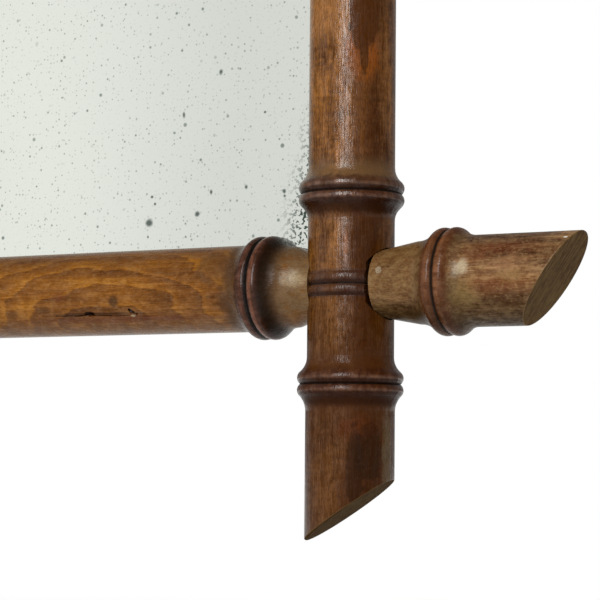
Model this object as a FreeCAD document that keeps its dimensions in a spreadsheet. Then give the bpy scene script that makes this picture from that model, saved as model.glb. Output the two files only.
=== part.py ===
"""Faux bamboo wall mirror: turned beech rods that cross at the corners, an old mirror plate behind them.

Millimetres. X runs to the right, Y away from the viewer, Z up. The origin is the middle of the frame, in the
plane that holds the axes of all four rods.
"""
import FreeCAD, Part
import math
import os
import re
import Sketcher

doc = FreeCAD.newDocument("FauxBambooMirror")
sizes = doc.addObject("Spreadsheet::Sheet", "Sizes")

# Driving dimensions, in millimetres, degrees and shares
driving = {
    # the four rods, measured between their axes
    "stile_spacing": 480.0,
    "rail_spacing": 640.0,
    "stile_radius": 19.0,
    "rail_radius": 19.5,
    "finial_radius": 19.5,
    # a node ring: two beads with a groove between them, each bead falling to the rod in a cove
    "bead_radius": 23.2,
    "groove_radius": 21.9,
    "bead_width": 5.4,
    "cove_length": 6.4,
    # where the corner rings stand, measured from the crossing of the axes
    "stile_ring_in": 39.8,
    "stile_ring_out": 43.2,
    "rail_ring_in": 40.7,
    "rail_ring_out": 48.6,
    # the necks that rails and finials taper to beside the stiles
    "neck_radius": 15.2,
    "neck_flare_radius": 17.9,
    "neck_cove_length": 9.4,
    # the low double band round each stile at its crossing
    "band_radius": 20.0,
    "band_height": 5.3,
    "band_shift": 0.4,
    # slanted ends of the finials
    "stile_cut": 98.0,
    "rail_cut": 95.6,
    "bevel_slope_share": 0.67,
    "stile_rake": 9.4,
    "rail_rake": 3.0,
    "arris": 0.7,
    # corner joint: the rail's round tenon goes through the stile and carries the finial
    "tenon_radius": 8.0,
    "tenon_reach": 36.0,
    "tenon_clearance": 0.05,
    "socket_spare": 0.5,
    "housing_floor": 13.7,
    "housing_clearance": 0.5,
    "finial_seat": 15.9,
    "peg_radius": 1.5,
    "peg_clearance": 0.05,
    "peg_offset": 20.8,
    "peg_rise": 4.7,
    "peg_depth": 6.0,
    "peg_length": 21.2,
    # rebate for the plate, and the flat planed on the back of each rod
    "rebate_wall": 9.0,
    "back_flat": 16.0,
    "flat_margin": 6.0,
    # what lies in the rebate, from the front to the back
    "glass_front": 3.0,
    "glass_thickness": 4.0,
    "glass_clearance": 0.8,
    "block_length": 32.0,
    "block_inset": 110.0,
    "slip_thickness": 1.2,
    "slip_width": 9.0,
    "slip_length": 130.0,
    "slip_offset": 110.0,
    "board_thickness": 5.0,
    "board_clearance": 0.6,
    "board_joint": 0.4,
    # sprigs driven sideways into the rods, over the boards
    "sprig_radius": 0.6,
    "sprig_clearance": 0.05,
    "sprig_length": 15.0,
    "sprig_grip": 7.0,
    "sprig_lift": 0.05,
    "sprig_pitch": 55.0,
    "sprig_spread": 150.0,
    # hangers on the backs of the stiles
    "hanger_height": 150.0,
    "strap_width": 12.0,
    "strap_length": 36.0,
    "strap_thickness": 1.2,
    "barrel_radius": 2.4,
    "barrel_rise": 4.2,
    "wire_radius": 1.25,
    "wire_clearance": 0.05,
    "ring_width": 18.5,
    "ring_leg": 6.0,
    "ring_corner": 2.5,
    # the straps' countersunk wood screws
    "screw_radius": 1.4,
    "screw_head_radius": 2.6,
    "screw_head_depth": 1.1,
    "screw_length": 11.0,
    "screw_hole_spare": 0.5,
    "screw_clearance": 0.1,
    "screw_first": 10.0,
    "screw_pitch": 16.0,
    "slot_width": 0.6,
    "slot_depth": 0.6,
    # how far cutting shapes run past what they cut
    "overrun": 5.0,
}
for row, (alias, number) in enumerate(driving.items(), start=1):
    sizes.set(f"A{row}", alias)
    sizes.set(f"B{row}", str(number))
    sizes.setAlias(f"B{row}", alias)
doc.recompute()

# Sums that several pieces share, as text in the sheet's names
half_width = "stile_spacing / 2"
half_height = "rail_spacing / 2"
beyond = "(bead_radius + overrun)"
ring_end = "(bead_width + cove_length)"
ring_crown = "(bead_radius - groove_radius)"
bead_round = f"((bead_width / 2)^2 + {ring_crown}^2) / (2 * {ring_crown})"
band_crown = "(band_radius - stile_radius)"
band_round = f"((band_height / 2)^2 + {band_crown}^2) / (2 * {band_crown})"
glass_back = "(glass_front + glass_thickness)"
board_front = f"({glass_back} + slip_thickness)"
board_back = f"({board_front} + board_thickness)"
sprig_level = f"({board_back} + sprig_radius + sprig_lift)"
glass_edge = "(rebate_wall + glass_clearance)"
barrel_level = "(back_flat + barrel_rise)"
tiny = 1e-9
alike_share = 0.9


def bound(text):
    """The same sum with each name pointing at its cell of the sheet."""
    return re.sub(r"\b([a-z]\w*)\b(?!\()", r"Sizes.\1", text)


def value(text):
    return float(sizes.evalExpression(bound(text)))


def new_body(label, at=("0", "0", "0")):
    body = doc.addObject("PartDesign::Body", label)
    body.Label = label
    put(body, at)
    return body


def put(thing, at, rotation=None):
    """Places a piece; each coordinate stays bound to the sheet."""
    if rotation:
        thing.Placement = FreeCAD.Placement(FreeCAD.Vector(), rotation)
    for letter, text in zip("xyz", at):
        thing.setExpression(f".Placement.Base.{letter}", bound(text))


def new_sketch(body, name, plane, shift="0", slide="0", turn=None):
    """A sketch on one of the body's origin planes, moved along its normal by shift and up by slide."""
    sketch = body.newObject("Sketcher::SketchObject", name)
    support = next(f for f in body.Origin.OriginFeatures if f.Role == plane)
    sketch.AttachmentSupport = (support, "")
    sketch.MapMode = "FlatFace"
    if turn:
        sketch.AttachmentOffset = FreeCAD.Placement(FreeCAD.Vector(), turn)
    sketch.setExpression(".AttachmentOffset.Base.z", bound(shift))
    sketch.setExpression(".AttachmentOffset.Base.y", bound(slide))
    return sketch


def pin_point(dims, geometry, end, across, up):
    """Holds one point of a sketch at two sums of the sheet's sizes."""
    for kind, text, axis in (("DistanceX", across, -2), ("DistanceY", up, -1)):
        number = value(text)
        if abs(number) < tiny:
            dims.append((Sketcher.Constraint("PointOnObject", geometry, end, axis), None))
        elif number > 0:
            dims.append((Sketcher.Constraint(kind, -1, 1, geometry, end, number), bound(text)))
        else:
            dims.append((Sketcher.Constraint(kind, geometry, end, -1, 1, -number), f"-({bound(text)})"))


def add_dims(sketch, dims):
    first = sketch.ConstraintCount
    sketch.addConstraint([constraint for constraint, text in dims])
    for index, (constraint, text) in enumerate(dims, start=first):
        if text:
            sketch.setExpression(f"Constraints[{index}]", text)


def outline(sketch, corners):
    """A closed outline, drawn with its material on the left.

    A corner is (across, up), reached by a straight line, or (across, up, radius, bend), reached by an arc that
    is "round" (bulges outwards) or "hollow".
    """
    places = [FreeCAD.Vector(value(c[0]), value(c[1]), 0) for c in corners]
    geometry, ends = [], []
    for index, corner in enumerate(corners):
        start, stop = places[index - 1], places[index]
        if len(corner) == 2:
            geometry.append(Part.LineSegment(start, stop))
            ends.append((1, 2))
            continue
        radius, bend = value(corner[2]), corner[3]
        middle, chord = (start + stop) * 0.5, stop - start
        left = FreeCAD.Vector(-chord.y, chord.x, 0).normalize()
        away = math.sqrt(max(radius**2 - (chord.Length / 2) ** 2, 0))
        centre = middle + left * (away if bend == "round" else -away)
        first, last = (start, stop) if bend == "round" else (stop, start)
        angles = [math.atan2(p.y - centre.y, p.x - centre.x) for p in (first, last)]
        circle = Part.Circle(centre, FreeCAD.Vector(0, 0, 1), radius)
        geometry.append(Part.ArcOfCircle(circle, angles[0], angles[1]))
        ends.append((1, 2) if bend == "round" else (2, 1))
    base = sketch.GeometryCount
    sketch.addGeometry(geometry, False)
    dims = []
    for index, corner in enumerate(corners):
        after = (index + 1) % len(corners)
        here, there = base + index, base + after
        joined = Sketcher.Constraint("Coincident", here, ends[index][1], there, ends[after][0])
        dims.append((joined, None))
        pin_point(dims, here, ends[index][1], corner[0], corner[1])
        if len(corner) == 4:
            dims.append((Sketcher.Constraint("Radius", here, value(corner[2])), bound(corner[2])))
    add_dims(sketch, dims)
    return sketch


def circles(sketch, centres, radius):
    dims = []
    for across, up in centres:
        centre = FreeCAD.Vector(value(across), value(up), 0)
        index = sketch.addGeometry(Part.Circle(centre, FreeCAD.Vector(0, 0, 1), value(radius)), False)
        pin_point(dims, index, 3, across, up)
        dims.append((Sketcher.Constraint("Radius", index, value(radius)), bound(radius)))
    add_dims(sketch, dims)
    return sketch


def rectangle(sketch, left, right, low, high):
    return outline(sketch, [(left, low), (right, low), (right, high), (left, high)])


def extrude(body, kind, sketch, length, both_ways=False, reverse=False):
    feature = body.newObject(f"PartDesign::{kind}", f"{sketch.Name}_{kind.lower()}")
    feature.Profile = sketch
    feature.SideType = "Symmetric" if both_ways else "One side"
    feature.Reversed = reverse
    feature.setExpression("Length", bound(length))
    return feature


def spin(body, kind, sketch, axis):
    feature = body.newObject(f"PartDesign::{kind}", f"{sketch.Name}_{kind.lower()}")
    feature.Profile = sketch
    feature.ReferenceAxis = (sketch, [axis])
    feature.Angle = 360
    return feature


def ease_bevels(body, count):
    """Rounds the sharp edges left by the slanted cuts: the longest ellipses on the body."""
    doc.recompute()
    base = body.Tip
    curved = [
        (edge.Length, f"Edge{number}")
        for number, edge in enumerate(base.Shape.Edges, start=1)
        if isinstance(edge.Curve, Part.Ellipse)
    ]
    longest = max(length for length, name in curved)
    names = [name for length, name in curved if length > longest * alike_share]
    if len(names) != count:
        raise RuntimeError(f"{body.Label}: {len(names)} slanted edges, not {count}")
    fillet = body.newObject("PartDesign::Fillet", f"{body.Name}_arris")
    fillet.Base = (base, names)
    fillet.setExpression("Radius", bound("arris"))


def ring_steps(centre, way, before, after):
    """A node ring along a rod. before and after give each side's radius and cove length; way is + or -."""
    back = "-" if way == "+" else "+"

    def cove(radius, length):
        drop = f"(groove_radius - {radius})"
        return f"({length}^2 + {drop}^2) / (2 * {drop})"

    return [
        (f"{centre} {back} (bead_width + {before[1]})", before[0]),
        (f"{centre} {back} bead_width", "groove_radius", cove(*before), "hollow"),
        (centre, "groove_radius", bead_round, "round"),
        (f"{centre} {way} bead_width", "groove_radius", bead_round, "round"),
        (f"{centre} {way} (bead_width + {after[1]})", after[0], cove(*after), "hollow"),
    ]


def band_steps(centre):
    return [
        (f"{centre} - band_height", "stile_radius"),
        (centre, "stile_radius", band_round, "round"),
        (f"{centre} + band_height", "stile_radius", band_round, "round"),
    ]


def mirrored(source, label, normal):
    """The same piece on the other side of the frame's middle."""
    twin = doc.addObject("Part::Mirroring", label)
    twin.Label = label
    twin.Source = source
    twin.Base = FreeCAD.Vector()
    twin.Normal = normal
    return twin


def group(label, members):
    bundle = doc.addObject("Part::Compound", label)
    bundle.Label = label
    bundle.Links = members
    return bundle


def box(label, low, lengths):
    block = doc.addObject("Part::Box", label)
    block.Label = label
    for side, text in zip(("Length", "Width", "Height"), lengths):
        block.setExpression(side, bound(text))
    put(block, low)
    return block


def rod(label, radius, length, at, rotation):
    cylinder = doc.addObject("Part::Cylinder", label)
    cylinder.setExpression("Radius", bound(radius))
    cylinder.setExpression("Height", bound(length))
    put(cylinder, at, rotation)
    return cylinder


across_x = FreeCAD.Vector(1, 0, 0)
along_y = FreeCAD.Vector(0, 1, 0)
along_z = FreeCAD.Vector(0, 0, 1)
towards_front = FreeCAD.Rotation(across_x, 90)
towards_right = FreeCAD.Rotation(along_y, 90)
upwards = FreeCAD.Rotation()

rod_side = ("stile_radius", "cove_length")
rail_side = ("rail_radius", "cove_length")
tip_side = ("finial_radius", "cove_length")
neck_side = ("neck_flare_radius", "neck_cove_length")

# Heights of the sprigs on the stiles and their places along the rails
board_height = "((rail_spacing - 2 * (rebate_wall + board_clearance + board_joint)) / 3)"
board_pitch = f"({board_height} + board_joint)"
sprig_heights = [
    f"{sign} {board_pitch} {step} sprig_pitch" for sign in ("-", "0 *", "") for step in ("-", "+")
]
sprig_places = ["-sprig_spread", "0", "sprig_spread"]


def make_stile():
    """Right stile: one turned rod with its two slanted ends, bored and housed for the rails' tenons."""
    stile = new_body("stile_right", (half_width, "0", "0"))
    reach = f"({half_height} + stile_cut + finial_radius)"
    ring_in = f"({half_height} - stile_ring_in)"
    ring_out = f"({half_height} + stile_ring_out)"
    band_centre = f"({half_height} + band_shift)"
    steps = [(f"-{reach}", "0"), (f"-{reach}", "finial_radius")]
    steps += ring_steps(f"-{ring_out}", "+", tip_side, rod_side)
    steps += band_steps(f"-{band_centre}")
    for place in (f"-{ring_in}", f"-{ring_in} / 3", f"{ring_in} / 3", ring_in):
        steps += ring_steps(place, "+", rod_side, rod_side)
    steps += band_steps(band_centre)
    steps += ring_steps(ring_out, "+", rod_side, tip_side)
    steps += [(reach, "finial_radius"), (reach, "0")]
    profile = new_sketch(stile, "stile_profile", "XZ_Plane")
    outline(profile, [(step[1], step[0], *step[2:]) for step in steps])
    spin(stile, "Revolution", profile, "V_Axis")

    crossings = [("0", f"-{half_height}"), ("0", half_height)]
    bores = new_sketch(stile, "stile_bores", "YZ_Plane")
    circles(bores, crossings, "tenon_radius + tenon_clearance")
    extrude(stile, "Pocket", bores, f"2 * {beyond}", both_ways=True)
    for name, shift, reverse in (("outer", "housing_floor", True), ("inner", "-housing_floor", False)):
        housing = new_sketch(stile, f"stile_{name}_housings", "YZ_Plane", shift)
        circles(housing, crossings, "neck_radius + housing_clearance")
        extrude(stile, "Pocket", housing, beyond, reverse=reverse)

    rebate = new_sketch(stile, "stile_rebate", "XZ_Plane", "-glass_front")
    rebate_end = f"({half_height} - rebate_wall)"
    rectangle(rebate, f"-{beyond}", "-rebate_wall", f"-{rebate_end}", rebate_end)
    extrude(stile, "Pocket", rebate, beyond)
    flat = new_sketch(stile, "stile_flat", "XZ_Plane", "-back_flat")
    flat_end = f"({ring_in} - {ring_end} - flat_margin)"
    rectangle(flat, f"-{beyond}", beyond, f"-{flat_end}", flat_end)
    extrude(stile, "Pocket", flat, beyond)

    sprig_holes = new_sketch(stile, "stile_sprig_holes", "YZ_Plane", "-rebate_wall")
    circles(sprig_holes, [(sprig_level, height) for height in sprig_heights], "sprig_radius + sprig_clearance")
    extrude(stile, "Pocket", sprig_holes, "sprig_grip", reverse=True)
    pilots = new_sketch(stile, "stile_screw_holes", "XZ_Plane", "-back_flat")
    screw_heights = ["hanger_height - screw_first", "hanger_height - screw_first - screw_pitch"]
    circles(pilots, [("0", height) for height in screw_heights], "screw_radius + screw_clearance")
    extrude(stile, "Pocket", pilots, "screw_length + screw_hole_spare", reverse=True)

    rise = "bevel_slope_share * (finial_radius + overrun)"
    side = "(finial_radius + overrun)"
    middle = "stile_cut * cos(stile_rake)"
    for name, sign, tilt in (("foot", "-", ""), ("head", "", "-")):
        turn = FreeCAD.Rotation(across_x, value(f"{tilt} stile_rake"))
        bevel = new_sketch(stile, f"stile_{name}_bevel", "XZ_Plane", "0", f"{sign} {half_height}", turn)
        near, far = f"{sign} ({middle} - {rise})", f"{sign} ({middle} + {rise})"
        past = f"{sign} ({middle} + 2 * {side})"
        corners = [(side, near), (f"-{side}", far), (f"-{side}", past), (side, past)]
        outline(bevel, corners if sign else corners[::-1])
        extrude(stile, "Pocket", bevel, f"4 * {beyond}", both_ways=True)
    return stile


def make_rail():
    """Bottom rail: a turned rod with a neck and a round through tenon at each end."""
    rail = new_body("rail_bottom", ("0", "0", f"-{half_height}"))
    shoulder = f"({half_width} - housing_floor)"
    stile_face = f"({half_width} - stile_radius)"
    tenon_end = f"({half_width} + tenon_reach)"
    ring_in = f"({half_width} - rail_ring_in)"
    steps = [(f"-{tenon_end}", "0"), (tenon_end, "0"), (tenon_end, "tenon_radius")]
    steps += [(shoulder, "tenon_radius"), (shoulder, "neck_radius"), (stile_face, "neck_radius")]
    steps += ring_steps(ring_in, "-", neck_side, rail_side)
    steps += ring_steps("0", "-", rail_side, rail_side)
    steps += ring_steps(f"-{ring_in}", "-", rail_side, neck_side)
    steps += [(f"-{stile_face}", "neck_radius"), (f"-{shoulder}", "neck_radius")]
    steps += [(f"-{shoulder}", "tenon_radius"), (f"-{tenon_end}", "tenon_radius")]
    profile = new_sketch(rail, "rail_profile", "XZ_Plane")
    outline(profile, steps)
    spin(rail, "Revolution", profile, "H_Axis")

    rebate = new_sketch(rail, "rail_rebate", "XZ_Plane", "-glass_front")
    rebate_end = f"({half_width} - rebate_wall)"
    rectangle(rebate, f"-{rebate_end}", rebate_end, "rebate_wall", beyond)
    extrude(rail, "Pocket", rebate, beyond)
    flat = new_sketch(rail, "rail_flat", "XZ_Plane", "-back_flat")
    flat_end = f"({ring_in} - {ring_end} - flat_margin)"
    rectangle(flat, f"-{flat_end}", flat_end, f"-{beyond}", beyond)
    extrude(rail, "Pocket", flat, beyond)
    sprig_holes = new_sketch(rail, "rail_sprig_holes", "XY_Plane", "rebate_wall")
    circles(sprig_holes, [(place, sprig_level) for place in sprig_places], "sprig_radius + sprig_clearance")
    extrude(rail, "Pocket", sprig_holes, "sprig_grip")
    peg_holes = new_sketch(rail, "rail_peg_holes", "XZ_Plane", "-peg_depth")
    peg_places = [(f"{sign} ({half_width} + peg_offset)", "peg_rise") for sign in ("-", "")]
    circles(peg_holes, peg_places, "peg_radius + peg_clearance")
    extrude(rail, "Pocket", peg_holes, f"2 * {beyond}", reverse=True)
    return rail


def make_finial():
    """Bottom right finial: turned, bored to sit on the rail's tenon, with its end cut on the slant."""
    finial = new_body("finial_bottom_right", (half_width, "0", f"-{half_height}"))
    end = "(rail_cut + finial_radius)"
    socket_end = "(tenon_reach + socket_spare)"
    socket_radius = "tenon_radius + tenon_clearance"
    steps = [(socket_end, "0"), (end, "0"), (end, "finial_radius")]
    steps += ring_steps("rail_ring_out", "-", tip_side, neck_side)
    steps += [("stile_radius", "neck_radius"), ("finial_seat", "neck_radius")]
    steps += [("finial_seat", socket_radius), (socket_end, socket_radius)]
    profile = new_sketch(finial, "finial_profile", "XZ_Plane")
    outline(profile, steps)
    spin(finial, "Revolution", profile, "H_Axis")

    peg_hole = new_sketch(finial, "finial_peg_hole", "XZ_Plane", "-peg_depth")
    circles(peg_hole, [("peg_offset", "peg_rise")], "peg_radius + peg_clearance")
    extrude(finial, "Pocket", peg_hole, f"2 * {beyond}", reverse=True)
    turn = FreeCAD.Rotation(along_y, value("rail_rake"))
    bevel = new_sketch(finial, "finial_bevel", "XZ_Plane", "0", "0", turn)
    side = "(finial_radius + overrun)"
    middle = "rail_cut * cos(rail_rake)"
    run = f"bevel_slope_share * {side}"
    past = f"({middle} + 2 * {side})"
    outline(bevel, [
        (f"{middle} - {run}", f"-{side}"),
        (past, f"-{side}"),
        (past, side),
        (f"{middle} + {run}", side),
    ])
    extrude(finial, "Pocket", bevel, f"4 * {beyond}", both_ways=True)
    ease_bevels(finial, 1)
    return finial


def make_pegs():
    pegs = []
    for level, rise in (("-", "+"), ("", "-")):
        for side in ("-", ""):
            at = (f"{side} ({half_width} + peg_offset)", "peg_depth", f"{level} {half_height} {rise} peg_rise")
            pegs.append(rod("finial_peg", "peg_radius", "peg_length", at, towards_front))
    return group("finial_pegs", pegs)


def make_plate():
    """The mirror plate, its silvered back against the packing."""
    lengths = (f"stile_spacing - 2 * {glass_edge}", "glass_thickness", f"rail_spacing - 2 * {glass_edge}")
    low = (f"-({half_width} - {glass_edge})", "glass_front", f"-({half_height} - {glass_edge})")
    return box("mirror_plate", low, lengths)


def make_blocks():
    """Two thin blocks on the bottom rail that carry the weight of the plate."""
    blocks = []
    for centre in ("-block_inset", "block_inset"):
        low = (f"{centre} - block_length / 2", "glass_front", f"-({half_height} - rebate_wall)")
        blocks.append(box("setting_block", low, ("block_length", "glass_thickness", "glass_clearance")))
    return group("setting_blocks", blocks)


def make_slips():
    """Card slips along the plate's edges, which keep the boards off the silvering."""
    slips = []
    for sign, edge in (("-", ""), ("", "- slip_width")):
        x_low = f"{sign} ({half_width} - {glass_edge}) {edge}"
        z_low = f"{sign} ({half_height} - {glass_edge}) {edge}"
        for centre in ("-slip_offset", "slip_offset"):
            start = f"{centre} - slip_length / 2"
            upright = ("slip_width", "slip_thickness", "slip_length")
            slips.append(box("packing_slip", (x_low, glass_back, start), upright))
            level = ("slip_length", "slip_thickness", "slip_width")
            slips.append(box("packing_slip", (start, glass_back, z_low), level))
    return group("packing_slips", slips)


def make_boards():
    """Three thin boards laid across the back, one above the other."""
    edge = "(rebate_wall + board_clearance)"
    lengths = (f"stile_spacing - 2 * {edge}", "board_thickness", board_height)
    boards = []
    for index, name in enumerate(("bottom", "middle", "top")):
        low = (f"-({half_width} - {edge})", board_front, f"-({half_height} - {edge}) + {index} * {board_pitch}")
        boards.append(box(f"backboard_{name}", low, lengths))
    return boards


def make_sprigs():
    """Headless nails pushed into the rods, lying over the edges of the boards."""
    outside = f"({half_width} - rebate_wall + sprig_grip)"
    above = f"({half_height} - rebate_wall + sprig_grip)"
    sprigs = []
    for start in (f"-{outside}", f"{outside} - sprig_length"):
        for height in sprig_heights:
            at = (start, sprig_level, height)
            sprigs.append(rod("sprig", "sprig_radius", "sprig_length", at, towards_right))
    for start in (f"-{above}", f"{above} - sprig_length"):
        for place in sprig_places:
            at = (place, sprig_level, start)
            sprigs.append(rod("sprig", "sprig_radius", "sprig_length", at, upwards))
    return group("backboard_sprigs", sprigs)


def make_strap():
    """Hanger strap: a plate on the stile's flat, turned up at the top into a barrel for the ring."""
    strap = new_body("hanger_strap_right", (half_width, "0", "hanger_height"))
    half_strap = "strap_width / 2"
    plate = new_sketch(strap, "strap_plate", "XZ_Plane", "-back_flat")
    low_end = f"-(strap_length - {half_strap})"
    top_end = "strap_thickness / 2"
    outline(plate, [
        ("0", "-strap_length", half_strap, "round"),
        (half_strap, low_end, half_strap, "round"),
        (half_strap, top_end),
        (f"-{half_strap}", top_end),
        (f"-{half_strap}", low_end),
    ])
    extrude(strap, "Pad", plate, "strap_thickness", reverse=True)
    web = new_sketch(strap, "strap_web", "YZ_Plane")
    rectangle(web, "back_flat", barrel_level, "-strap_thickness / 2", top_end)
    extrude(strap, "Pad", web, "strap_width", both_ways=True)
    barrel = new_sketch(strap, "strap_barrel", "YZ_Plane")
    circles(barrel, [(barrel_level, "0")], "barrel_radius")
    extrude(strap, "Pad", barrel, "strap_width", both_ways=True)
    bore = new_sketch(strap, "strap_bore", "YZ_Plane")
    circles(bore, [(barrel_level, "0")], "wire_radius + wire_clearance")
    extrude(strap, "Pocket", bore, "2 * strap_width", both_ways=True)
    for index, height in enumerate(("-screw_first", "-screw_first - screw_pitch")):
        sink = new_sketch(strap, f"strap_countersink_{index}", "YZ_Plane", "0", height)
        outline(sink, screw_corners("screw_clearance", "back_flat - overrun"))
        spin(strap, "Groove", sink, "H_Axis")
    return strap


def screw_corners(spare, tip):
    """Half a countersunk screw: its axis lies along the sketch, its head flush with the strap."""
    face = "(back_flat + strap_thickness)"
    neck = f"{face} - screw_head_depth"
    return [(tip, "0"), (face, "0"), (face, f"screw_head_radius + {spare}"),
            (neck, f"screw_radius + {spare}"), (tip, f"screw_radius + {spare}")]


def make_screws():
    """The two slotted screws of one strap."""
    screws = new_body("hanger_screws_right", (half_width, "0", "hanger_height - screw_first"))
    profile = new_sketch(screws, "screw_profile", "YZ_Plane")
    outline(profile, screw_corners("0", "back_flat - screw_length"))
    turned = spin(screws, "Revolution", profile, "H_Axis")
    slot = new_sketch(screws, "screw_slot", "XZ_Plane", "-(back_flat + strap_thickness - slot_depth)")
    rectangle(slot, "-slot_width / 2", "slot_width / 2", "-2 * screw_head_radius", "2 * screw_head_radius")
    cut = extrude(screws, "Pocket", slot, "overrun")
    doc.recompute()
    pair = screws.newObject("PartDesign::LinearPattern", "screw_pair")
    pair.Originals = [turned, cut]
    pair.Direction = (profile, ["V_Axis"])
    pair.Reversed = True
    pair.setExpression("Length", bound("screw_pitch"))
    pair.Occurrences = 2
    screws.Tip = pair
    return screws


def make_ring():
    """Hanging ring: round wire bent to a D, its straight side in the strap's barrel, hanging down."""
    ring = new_body("hanger_ring_right", (half_width, barrel_level, "hanger_height"))
    half_ring = "ring_width / 2"
    corner = "ring_corner"
    leg = f"-({corner} + ring_leg)"
    bar_end = f"({half_ring} - {corner})"
    path = new_sketch(ring, "ring_path", "XZ_Plane")
    outline(path, [
        ("0", "0"),
        (f"-{bar_end}", "0"),
        (f"-{half_ring}", f"-{corner}", corner, "round"),
        (f"-{half_ring}", leg),
        ("0", f"{leg} - {half_ring}", half_ring, "round"),
        (half_ring, leg, half_ring, "round"),
        (half_ring, f"-{corner}"),
        (bar_end, "0", corner, "round"),
    ])
    section = new_sketch(ring, "ring_section", "YZ_Plane")
    circles(section, [("0", "0")], "wire_radius")
    bent = ring.newObject("PartDesign::AdditivePipe", "ring_wire")
    bent.Profile = section
    bent.Spine = path
    return ring


stile = make_stile()
rail = make_rail()
finial = make_finial()
strap = make_strap()
screws = make_screws()
ring = make_ring()
doc.recompute()
ease_bevels(stile, 2)
doc.recompute()

nodes = [stile, rail, finial, strap, screws, ring]
nodes.append(mirrored(stile, "stile_left", across_x))
nodes.append(mirrored(rail, "rail_top", along_z))
finial_left = mirrored(finial, "finial_bottom_left", across_x)
nodes.append(finial_left)
nodes.append(mirrored(finial, "finial_top_right", along_z))
nodes.append(mirrored(finial_left, "finial_top_left", along_z))
nodes.append(mirrored(strap, "hanger_strap_left", across_x))
nodes.append(mirrored(screws, "hanger_screws_left", across_x))
nodes.append(mirrored(ring, "hanger_ring_left", across_x))
nodes += [make_pegs(), make_plate(), make_blocks(), make_slips(), make_sprigs()]
nodes += make_boards()
doc.recompute()

for thing in doc.Objects:
    if "Invalid" in thing.State or "Error" in thing.State:
        raise RuntimeError(f"{thing.Name} did not build: {thing.State}")
for node in nodes:
    if node.Shape.isNull() or not node.Shape.isValid() or not node.Shape.Solids:
        raise RuntimeError(f"{node.Label} has no sound solid")

os.makedirs("parts", exist_ok=True)
for node in nodes:
    node.Shape.exportStep(os.path.join("parts", node.Label + ".step"))
    room = node.Shape.BoundBox
    print(f"{node.Label}: {len(node.Shape.Solids)} solids, {node.Shape.Volume:.0f} mm3, "
          f"x {room.XMin:.2f} {room.XMax:.2f} y {room.YMin:.2f} {room.YMax:.2f} z {room.ZMin:.2f} {room.ZMax:.2f}")
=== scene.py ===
import math
import random
import bpy
from mathutils import Euler, Matrix, Vector


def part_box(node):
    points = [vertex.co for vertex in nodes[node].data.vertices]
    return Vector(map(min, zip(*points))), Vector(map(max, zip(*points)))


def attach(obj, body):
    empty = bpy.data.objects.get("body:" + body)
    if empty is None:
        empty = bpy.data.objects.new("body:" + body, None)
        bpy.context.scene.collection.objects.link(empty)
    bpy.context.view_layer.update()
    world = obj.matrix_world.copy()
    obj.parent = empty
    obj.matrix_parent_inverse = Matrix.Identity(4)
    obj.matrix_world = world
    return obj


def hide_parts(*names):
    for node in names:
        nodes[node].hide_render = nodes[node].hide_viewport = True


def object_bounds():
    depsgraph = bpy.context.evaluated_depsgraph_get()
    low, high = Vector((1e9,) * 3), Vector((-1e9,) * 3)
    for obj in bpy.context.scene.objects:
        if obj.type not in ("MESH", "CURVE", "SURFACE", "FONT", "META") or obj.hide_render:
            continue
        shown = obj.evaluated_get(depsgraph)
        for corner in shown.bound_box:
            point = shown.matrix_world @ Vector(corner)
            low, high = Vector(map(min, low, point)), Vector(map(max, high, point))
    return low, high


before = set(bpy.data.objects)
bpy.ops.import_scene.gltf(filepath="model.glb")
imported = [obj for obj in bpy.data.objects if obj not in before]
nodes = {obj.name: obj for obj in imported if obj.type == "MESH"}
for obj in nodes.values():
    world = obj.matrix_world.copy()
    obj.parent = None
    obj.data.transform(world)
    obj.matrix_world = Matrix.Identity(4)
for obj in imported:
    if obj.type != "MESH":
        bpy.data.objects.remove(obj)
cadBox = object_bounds()
scene = bpy.context.scene
print("frame loaded,", len(nodes), "nodes")

mm = 0.001
stileAxis, railAxis = 240.0, 320.0              # millimetres from the middle of the frame
soft = {"interpolation_type": "SMOOTHSTEP"}     # for a range with eased ends
paint = {"data_type": "RGBA", "out": 2}         # for a mix of two colours


def toLinear(hexCode):
    parts = [int(hexCode[i:i + 2], 16) / 255 for i in (1, 3, 5)]
    return tuple(c / 12.92 if c <= 0.04045 else ((c + 0.055) / 1.055) ** 2.4 for c in parts) + (1.0,)


# adds a node with its settings, and fills or links its sockets
# it gives back one output, or the node itself if out is None
def addNode(tree, kind, *feeds, out=0, **settings):
    node = tree.nodes.new("ShaderNode" + kind)
    for key, value in settings.items():
        setattr(node, key, value)
    named = feeds[0] if feeds and isinstance(feeds[0], dict) else dict(enumerate(feeds))
    for key, source in named.items():
        if isinstance(source, bpy.types.NodeSocket):
            tree.links.new(source, node.inputs[key])
        else:
            node.inputs[key].default_value = toLinear(source) if isinstance(source, str) else source
    return node if out is None else node.outputs[out]


def startMaterial(name):
    material = bpy.data.materials.new(name)
    material.use_nodes = True
    tree = material.node_tree
    tree.nodes.clear()
    shader = addNode(tree, "BsdfPrincipled", out=None)
    addNode(tree, "OutputMaterial", shader.outputs[0], out=None)
    place = addNode(tree, "TexCoord", out="Object")
    place = addNode(tree, "VectorMath", place, (1 / mm,) * 3, operation="MULTIPLY")     # millimetres
    return material, tree, shader, place


# the noise layers of a finish: each has the size of its lumps in millimetres, its detail and its roughness
def drawLayers(tree, place, layers):
    drawn = {}
    for name, (size, detail, rough) in layers.items():
        scaled = addNode(tree, "VectorMath", place, [1 / s for s in size], operation="MULTIPLY")
        feeds = {"Vector": scaled, "Scale": 1.0, "Detail": detail, "Roughness": rough}
        drawn[name] = addNode(tree, "TexNoise", feeds)
    return drawn


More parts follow.
